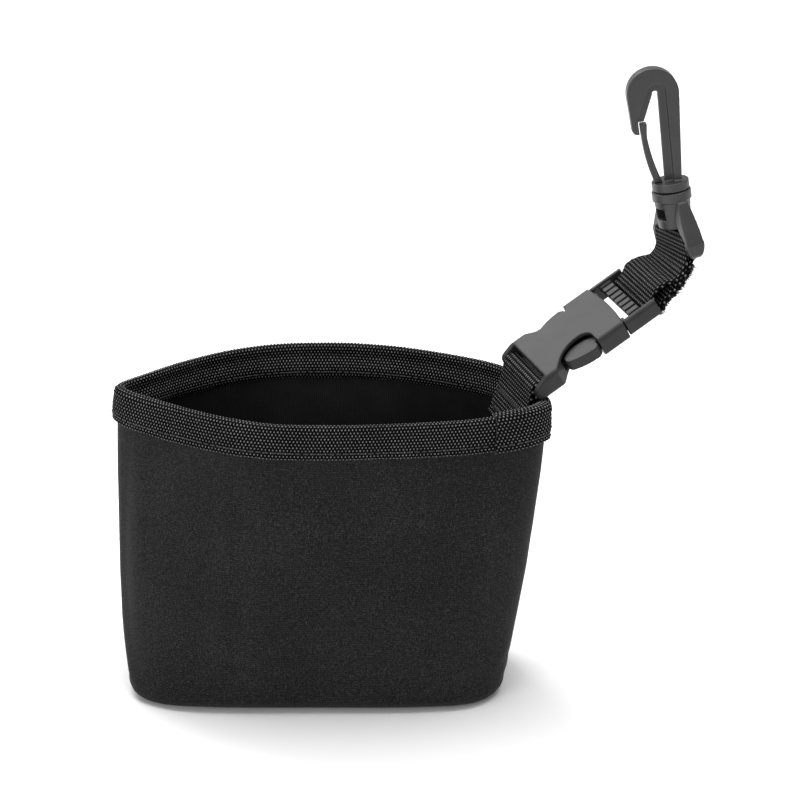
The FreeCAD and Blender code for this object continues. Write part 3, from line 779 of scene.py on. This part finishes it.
def webbing(name, centres, wides, outs, body, closed, width, fray, material):
    """Ribbed webbing along stations: its ribs run across it, and its selvedges are rounded."""
    centres, wides, outs = np.array(centres), np.array(wides), np.array(outs)
    steps = np.linalg.norm(np.diff(centres, axis=0), axis=1)
    run = np.concatenate([[0], np.cumsum(steps)])
    half = width / 2
    last = WEBBING_POINTS - 1
    around = [(-1 + 2 * i / last, 1) for i in range(WEBBING_POINTS)]
    around += [(1 - 2 * i / last, -1) for i in range(WEBBING_POINTS)]
    points, uvs = [], []
    for i, (centre, wide, out) in enumerate(zip(centres, wides, outs)):
        rib = math.cos(2 * math.pi * run[i] / RIB)
        scallop = 0.12 * math.cos(math.pi * run[i] / RIB) + 0.10 * value_noise(run[i], 2.0, 1.0, 5.0, 2.0)
        for x, face in around:
            near_edge = max(0.0, (abs(x) - 0.93) / 0.07)
            thick = WEBBING / 2 * (1 - 0.45 * near_edge ** 2)
            row = round(run[i] / RIB)
            yarn = 0.12 * math.cos(2 * math.pi * (x * half / YARN_PITCH + 0.5 * (row % 2)))
            thick += (0.17 * rib + yarn * max(0.0, rib)) * (1 - near_edge)
            reach = x * (half + scallop + fray * value_noise(run[i], x, 3.0, 0.9, 6.0) * near_edge)
            points.append(centre + wide * reach + out * (face * thick))
            uvs.append((run[i] / 10, x * half / 10))
    count = len(around)
    faces = grid_faces(len(centres), count, 0, closed, True)
    if not closed:
        faces.append(tuple(range(count))[::-1])
        faces.append(tuple(range((len(centres) - 1) * count, len(centres) * count)))
    return make_object(name, points, faces, material, body, uvs)


def resample(points, spacing, closed=False):
    """Points evenly spaced along a polyline."""
    points = np.array(points, float)
    if closed:
        points = np.vstack([points, points[:1]])
    run = np.concatenate([[0], np.cumsum(np.linalg.norm(np.diff(points, axis=0), axis=1))])
    count = int(round(run[-1] / spacing))
    at = np.linspace(0, run[-1], count + 1)
    if closed:
        at = at[:-1]
    return np.column_stack([np.interp(at, run, points[:, k]) for k in range(points.shape[1])])


def fillet(before, corner, after, radius):
    """Points of a rounded corner of a plan polyline."""
    before, corner, after = np.array(before), np.array(corner), np.array(after)
    back = (before - corner) / np.linalg.norm(before - corner)
    on = (after - corner) / np.linalg.norm(after - corner)
    half = math.acos(np.clip(back @ on, -1, 1)) / 2
    inward = (back + on) / np.linalg.norm(back + on)
    centre = corner + inward * radius / math.sin(half)
    start, end = corner + back * radius / math.tan(half), corner + on * radius / math.tan(half)
    a, b = start - centre, end - centre
    turn = math.acos(np.clip(a @ b / radius ** 2, -1, 1))
    result = []
    for t in np.linspace(0, 1, 12):
        result.append(centre + (a * math.sin((1 - t) * turn) + b * math.sin(t * turn)) / math.sin(turn))
    return result


def anchor_stations():
    """Stations of the loop round the socket's bar, with its two legs down inside the bag."""
    bar = BUCKLE_TOP.cross(BUCKLE_AXIS).normalized()
    up = across(Vector((0, 0, 1)), bar)
    forward = bar.cross(up)
    outer_dip, inner_dip = math.radians(3.0), math.radians(80.0)
    under = np.array([math.sin(outer_dip), -math.cos(outer_dip)]) * ANCHOR_LOOP
    over = np.array([-math.sin(inner_dip), math.cos(inner_dip)]) * ANCHOR_LOOP

    def leg(tangent, dip, x, foot):
        """Corner and foot of a leg that leaves the loop at a tangent."""
        return np.array([x, tangent[1] + (x - tangent[0]) * math.tan(dip)]), np.array([foot, ANCHOR_END])

    under_corner, under_foot = leg(under, outer_dip, -1.9, -7.4)
    over_corner, over_foot = leg(over, inner_dip, -3.2, -7.5)
    path = [under_foot] + fillet(under_foot, under_corner, under, 1.6)
    for angle in np.linspace(-math.pi / 2 + outer_dip, math.pi / 2 + inner_dip, 34):
        path.append(ANCHOR_LOOP * np.array([math.cos(angle), math.sin(angle)]))
    path += fillet(over, over_corner, over_foot, 2.8) + [over_foot]
    flat = resample(path, 0.2)
    tangent = np.gradient(flat, axis=0)
    tangent /= np.linalg.norm(tangent, axis=1)[:, None]
    out = np.column_stack([tangent[:, 1], -tangent[:, 0]])
    flat = flat + out * (WEBBING / 2 + 0.03)
    forward, up, bar = np.array(forward), np.array(up), np.array(bar)
    centres = np.array(ORIGIN + BUCKLE_AXIS * SOCKET_BAR_X) + flat[:, :1] * forward + flat[:, 1:] * up
    outs = out[:, :1] * forward + out[:, 1:] * up
    return centres, np.tile(bar, (len(centres), 1)), outs


anchor = webbing("anchor_webbing", *anchor_stations(), "pouch", False, WEBBING_WIDTH, 0.0, STRAP_WEAVE)
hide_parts("anchor_strap")


def strap_frame(t):
    """Centre, width and thickness directions and half spread of the folded strap, bar to bar."""
    start = ORIGIN + BUCKLE_AXIS * END_BAR_X
    bar = BUCKLE_AXIS.cross(BUCKLE_TOP).normalized()
    fold = start + BUCKLE_AXIS * STRAP_FOLD[0] + across(BUCKLE_TOP, BUCKLE_AXIS) * STRAP_FOLD[1]
    leave = start + (fold - start) * STRAP_FOLD_PULL
    arrive = EYE - across(EYE - fold, EYE_BAR) * (EYE - fold).length
    s = 1 - t
    centre = start * s ** 3 + leave * (3 * s * s * t) + arrive * (3 * s * t * t) + EYE * t ** 3
    tangent = (leave - start) * (s * s) + (arrive - leave) * (2 * s * t) + (EYE - arrive) * (t * t)
    tangent = tangent.normalized()
    twist = t * t * (3 - 2 * t)
    wide = across(bar * (1 - twist) + EYE_BAR * twist, tangent)
    closed = WEBBING / 2 + 0.09
    apart = END_BAR_RADIUS * (1 - t) + EYE_BAR_RADIUS * t + LOOP_GAP + WEBBING / 2
    spread = closed + (apart - closed) * (2 * t - 1) ** 4
    return centre, wide, wide.cross(tangent), tangent, spread


def strap_lift(t):
    """How far the strap's upper layer arches over the plug."""
    return STRAP_ARCH * smooth_step(t / 0.14) * (1 - smooth_step((t - 0.18) / 0.34))


def strap_loop():
    """Stations of the closed loop round both bars."""
    stations = []
    for t in np.linspace(0, 1, 60):
        centre, wide, thick, _, spread = strap_frame(t)
        lift = strap_lift(t)
        stations.append([*(centre + thick * (spread + lift) - wide * (0.3 * lift)), *wide, *thick])
    centre, wide, thick, _, spread = strap_frame(1)
    for angle in np.linspace(0, math.pi, 20)[1:-1]:
        out = thick * math.cos(angle) + STEM * math.sin(angle)
        reach = STRAP_EYE_REACH * math.sin(angle) ** 0.7
        place = centre + thick * (spread * math.cos(angle)) + STEM * reach
        stations.append([*place, *wide, *out])
    for t in np.linspace(1, 0, 60):
        centre, wide, thick, _, spread = strap_frame(t)
        stations.append([*(centre - thick * spread), *wide, *(-thick)])
    centre, wide, thick, tangent, spread = strap_frame(0)
    for angle in np.linspace(0, math.pi, 14)[1:-1]:
        out = -thick * math.cos(angle) - tangent * math.sin(angle)
        stations.append([*(centre + out * spread), *wide, *out])
    stations = resample(stations, 0.2, True)
    wides = stations[:, 3:6] / np.linalg.norm(stations[:, 3:6], axis=1)[:, None]
    outs = stations[:, 6:9] / np.linalg.norm(stations[:, 6:9], axis=1)[:, None]
    return stations[:, :3], wides, outs


hook_webbing = webbing("hook_webbing", *strap_loop(), "strap", True, 24.7, 0.3, STRAP_WEAVE)
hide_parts("hook_strap")


def threads(name, lines, radius, body, nodes):
    """Separate threads, each a thin tube along its own line of points."""
    points, faces, uvs = [], [], []
    sides = 5
    for line in lines:
        line = np.array(line, float)
        ahead = np.gradient(line, axis=0)
        ahead /= np.linalg.norm(ahead, axis=1)[:, None]
        first = np.cross(ahead, [0.31, 0.17, 0.93])
        first /= np.linalg.norm(first, axis=1)[:, None]
        second = np.cross(ahead, first)
        start = len(points)
        for i, point in enumerate(line):
            size = radius * (0.6 if i in (0, len(line) - 1) else 1.0)
            for k in range(sides):
                angle = 2 * math.pi * k / sides
                points.append(point + (first[i] * math.cos(angle) + second[i] * math.sin(angle)) * size)
                uvs.append((i * 0.04, k * 0.03))
        faces += tube_faces(len(line), sides, start)
    obj = make_object(name, points, faces, THREAD, body, uvs)
    if nodes:
        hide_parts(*nodes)
    return obj


def strap_tail():
    """The cut end of the webbing, folded back behind the loop and fraying at its near edge."""
    centres, wides, outs = [], [], []
    for t in np.linspace(0.02, 0.8, 140):
        centre, wide, thick, _, spread = strap_frame(t)
        behind = spread + WEBBING + TAIL_GAP
        centres.append(centre - thick * behind + wide * (0.9 - 2.2 * t))
        wides.append(wide)
        outs.append(-thick)
    return centres, wides, outs


def fray_lines(stations, seed):
    """Loose filaments that stand out of the tail's near edge."""
    rng = np.random.RandomState(seed)
    centres, wides, outs = [np.array(values) for values in stations]
    lines = []
    for _ in range(260):
        i = rng.randint(2, len(centres) - 3)
        ahead = centres[i + 1] - centres[i - 1]
        ahead = ahead / np.linalg.norm(ahead)
        root = centres[i] + wides[i] * (WEBBING_WIDTH / 2 - 1.0) + outs[i] * rng.uniform(-0.6, 0.6)
        reach = wides[i] * rng.uniform(0.5, 1.0) + ahead * rng.uniform(-0.7, 0.7)
        reach = reach + outs[i] * rng.uniform(-0.3, 0.9)
        length = rng.uniform(0.6, 1.5)
        curl = ahead * rng.uniform(-1.0, 1.0) + outs[i] * rng.uniform(-0.8, 0.8)
        lines.append([root + reach * length * u + curl * length * 0.5 * u * u for u in np.linspace(0, 1, 6)])
    return lines


tail = strap_tail()
webbing("hook_webbing_tail", *tail, "strap", False, 24.0, 1.1, TAIL_WEAVE)
threads("hook_webbing_fray", fray_lines(tail, 5), 0.13, "strap", [])


def hump(start, end, out, rise):
    """One stitch: a thread that rises out of the cloth and dips back in."""
    steps = np.linspace(0, 1, 6)
    return [start + (end - start) * u + out * (rise * (4 * u * (1 - u)) - 0.1) for u in steps]


def strap_stitch_lines():
    """Rows of stitches across both faces of the folded strap."""
    lines = []
    for t in STITCH_ROWS:
        centre, wide, thick, _, spread = [np.array(v) for v in strap_frame(t)]
        for side in (1, -1):
            lift = strap_lift(t) if side > 0 else 0.0
            face = centre + thick * side * (spread + lift + WEBBING / 2 + 0.06)
            for k in range(9):
                x = -10.8 + 2.4 * k
                lines.append(hump(face + wide * x, face + wide * (x + 1.9), thick * side, 0.3))
    return lines


threads("strap_stitches", strap_stitch_lines(), 0.24, "strap", ["hook_strap_stitching"])


def bartack_lines():
    """Two dense zigzags that hold the anchor's legs together."""
    centres, wides, outs = anchor_stations()
    bar = np.array(ORIGIN + BUCKLE_AXIS * SOCKET_BAR_X)
    up = np.array(across(Vector((0, 0, 1)), Vector(wides[0])))
    height = (centres - bar) @ up
    leg = np.arange(len(centres)) > len(centres) / 2
    lines = []
    for level in ANCHOR_TACKS:
        i = int(np.argmin(np.where(leg, np.abs(height - level), 99)))
        ahead = (centres[i + 1] - centres[i - 1]) / np.linalg.norm(centres[i + 1] - centres[i - 1])
        face = centres[i] + outs[i] * (WEBBING / 2 + 0.12)
        zigzag = []
        for k in range(56):
            sideways = TACK_HALF_WIDTH * (2 * k / 55 - 1)
            zigzag.append(face + wides[i] * sideways + ahead * (0.85 if k % 2 else -0.85))
        lines.append(zigzag)
    return lines


threads("anchor_bartacks", bartack_lines(), 0.2, "pouch", ["anchor_bartack"])

# ---------------------------------------------------------------- moulded parts

def moulded(name, node, place, body, material, voxel):
    """The CAD node's shape with the rounded edges of a moulding, worked in its own frame."""
    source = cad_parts[node]
    mesh = source.data.copy()
    metres = place.copy()
    metres.translation = place.translation * MM
    mesh.transform(metres.inverted())
    obj = bpy.data.objects.new(name, mesh)
    bpy.context.scene.collection.objects.link(obj)
    mesh.materials.clear()
    remesh = obj.modifiers.new("remesh", "REMESH")
    remesh.mode = "VOXEL"
    remesh.voxel_size = voxel * MM
    smooth = obj.modifiers.new("smooth", "SMOOTH")
    smooth.factor = 0.5
    smooth.iterations = PASSES
    decimate = obj.modifiers.new("decimate", "DECIMATE")
    decimate.ratio = KEPT_FACES
    bpy.context.view_layer.update()
    graph = bpy.context.evaluated_depsgraph_get()
    result = bpy.data.meshes.new_from_object(obj.evaluated_get(graph))
    obj.modifiers.clear()
    obj.data = result
    result.name = name
    result.transform(metres)
    result.materials.append(material)
    result.polygons.foreach_set("use_smooth", [True] * len(result.polygons))
    tidy_normals(obj)
    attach(obj, body)
    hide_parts(node)


for piece, node, place, body, size in (
    ("socket_moulding", "buckle_socket", BUCKLE, "socket", 1.0),
    ("plug_moulding", "buckle_plug", BUCKLE, "plug", 0.8),
    ("prong_left_moulding", "plug_prong_left", BUCKLE, "prong_left", 0.9),
    ("prong_right_moulding", "plug_prong_right", BUCKLE, "prong_right", 0.9),
):
    moulded(piece, node, place, body, BUCKLE_PLASTIC, VOXEL * size)
for piece, node, place, body, size in (
    ("eye_moulding", "swivel_eye", EYE_FRAME, "eye", 0.8),
    ("hook_moulding", "hook_body", HOOK_FRAME, "hook", 0.8),
    ("gate_moulding", "hook_gate", HOOK_FRAME, "gate", 0.8),
):
    moulded(piece, node, place, body, HOOK_PLASTIC, VOXEL * size)

# ---------------------------------------------------------------- stage, lights and camera

def aim(obj, target):
    """Turns a light or camera towards a point."""
    obj.rotation_euler = (Vector(target) - obj.location).to_track_quat("-Z", "Y").to_euler()


def softbox(name, location, target, size, power):
    """A rectangular area light."""
    light = bpy.data.lights.new(name, "AREA")
    light.shape = "RECTANGLE"
    light.size, light.size_y = size
    light.energy = power
    obj = bpy.data.objects.new(name, light)
    bpy.context.scene.collection.objects.link(obj)
    obj.location = location
    aim(obj, target)


floor_mesh = bpy.data.meshes.new("floor")
floor_mesh.from_pydata([(-4, -4, 0), (4, -4, 0), (4, 4, 0), (-4, 4, 0)], [], [(0, 1, 2, 3)])
floor = bpy.data.objects.new("floor", floor_mesh)
bpy.context.scene.collection.objects.link(floor)
floor_mesh.materials.append(floor_material())

world = bpy.data.worlds.new("studio")
bpy.context.scene.world = world
world.use_nodes = True
background = world.node_tree.nodes["Background"]
background.inputs["Color"].default_value = (1, 1, 1, 1)
background.inputs["Strength"].default_value = 0.5
LIT_POINT = (0.03, 0, 0.1)
softbox("back_left_box", (-0.6, 0.82, 0.97), LIT_POINT, (0.75, 0.6), 9.5)
softbox("top_box", (0.1, 0.1, 1.5), LIT_POINT, (1.3, 1.1), 22)
softbox("front_fill", (-0.8, -1.1, 0.5), LIT_POINT, (0.7, 0.7), 5)

camera = bpy.data.cameras.new("camera")
camera.sensor_width = 36
camera.lens = 131.2
camera_object = bpy.data.objects.new("camera", camera)
bpy.context.scene.collection.objects.link(camera_object)
VIEW_POINT = Vector((0.031, 0, 0.117))
VIEW_DISTANCE = 1.1
VIEW_ELEVATION = math.radians(24)
view_direction = Vector((0, -math.cos(VIEW_ELEVATION), math.sin(VIEW_ELEVATION)))
camera_object.location = VIEW_POINT + view_direction * VIEW_DISTANCE
aim(camera_object, VIEW_POINT)
bpy.context.scene.camera = camera_object
bpy.context.scene.view_settings.view_transform = "Standard"
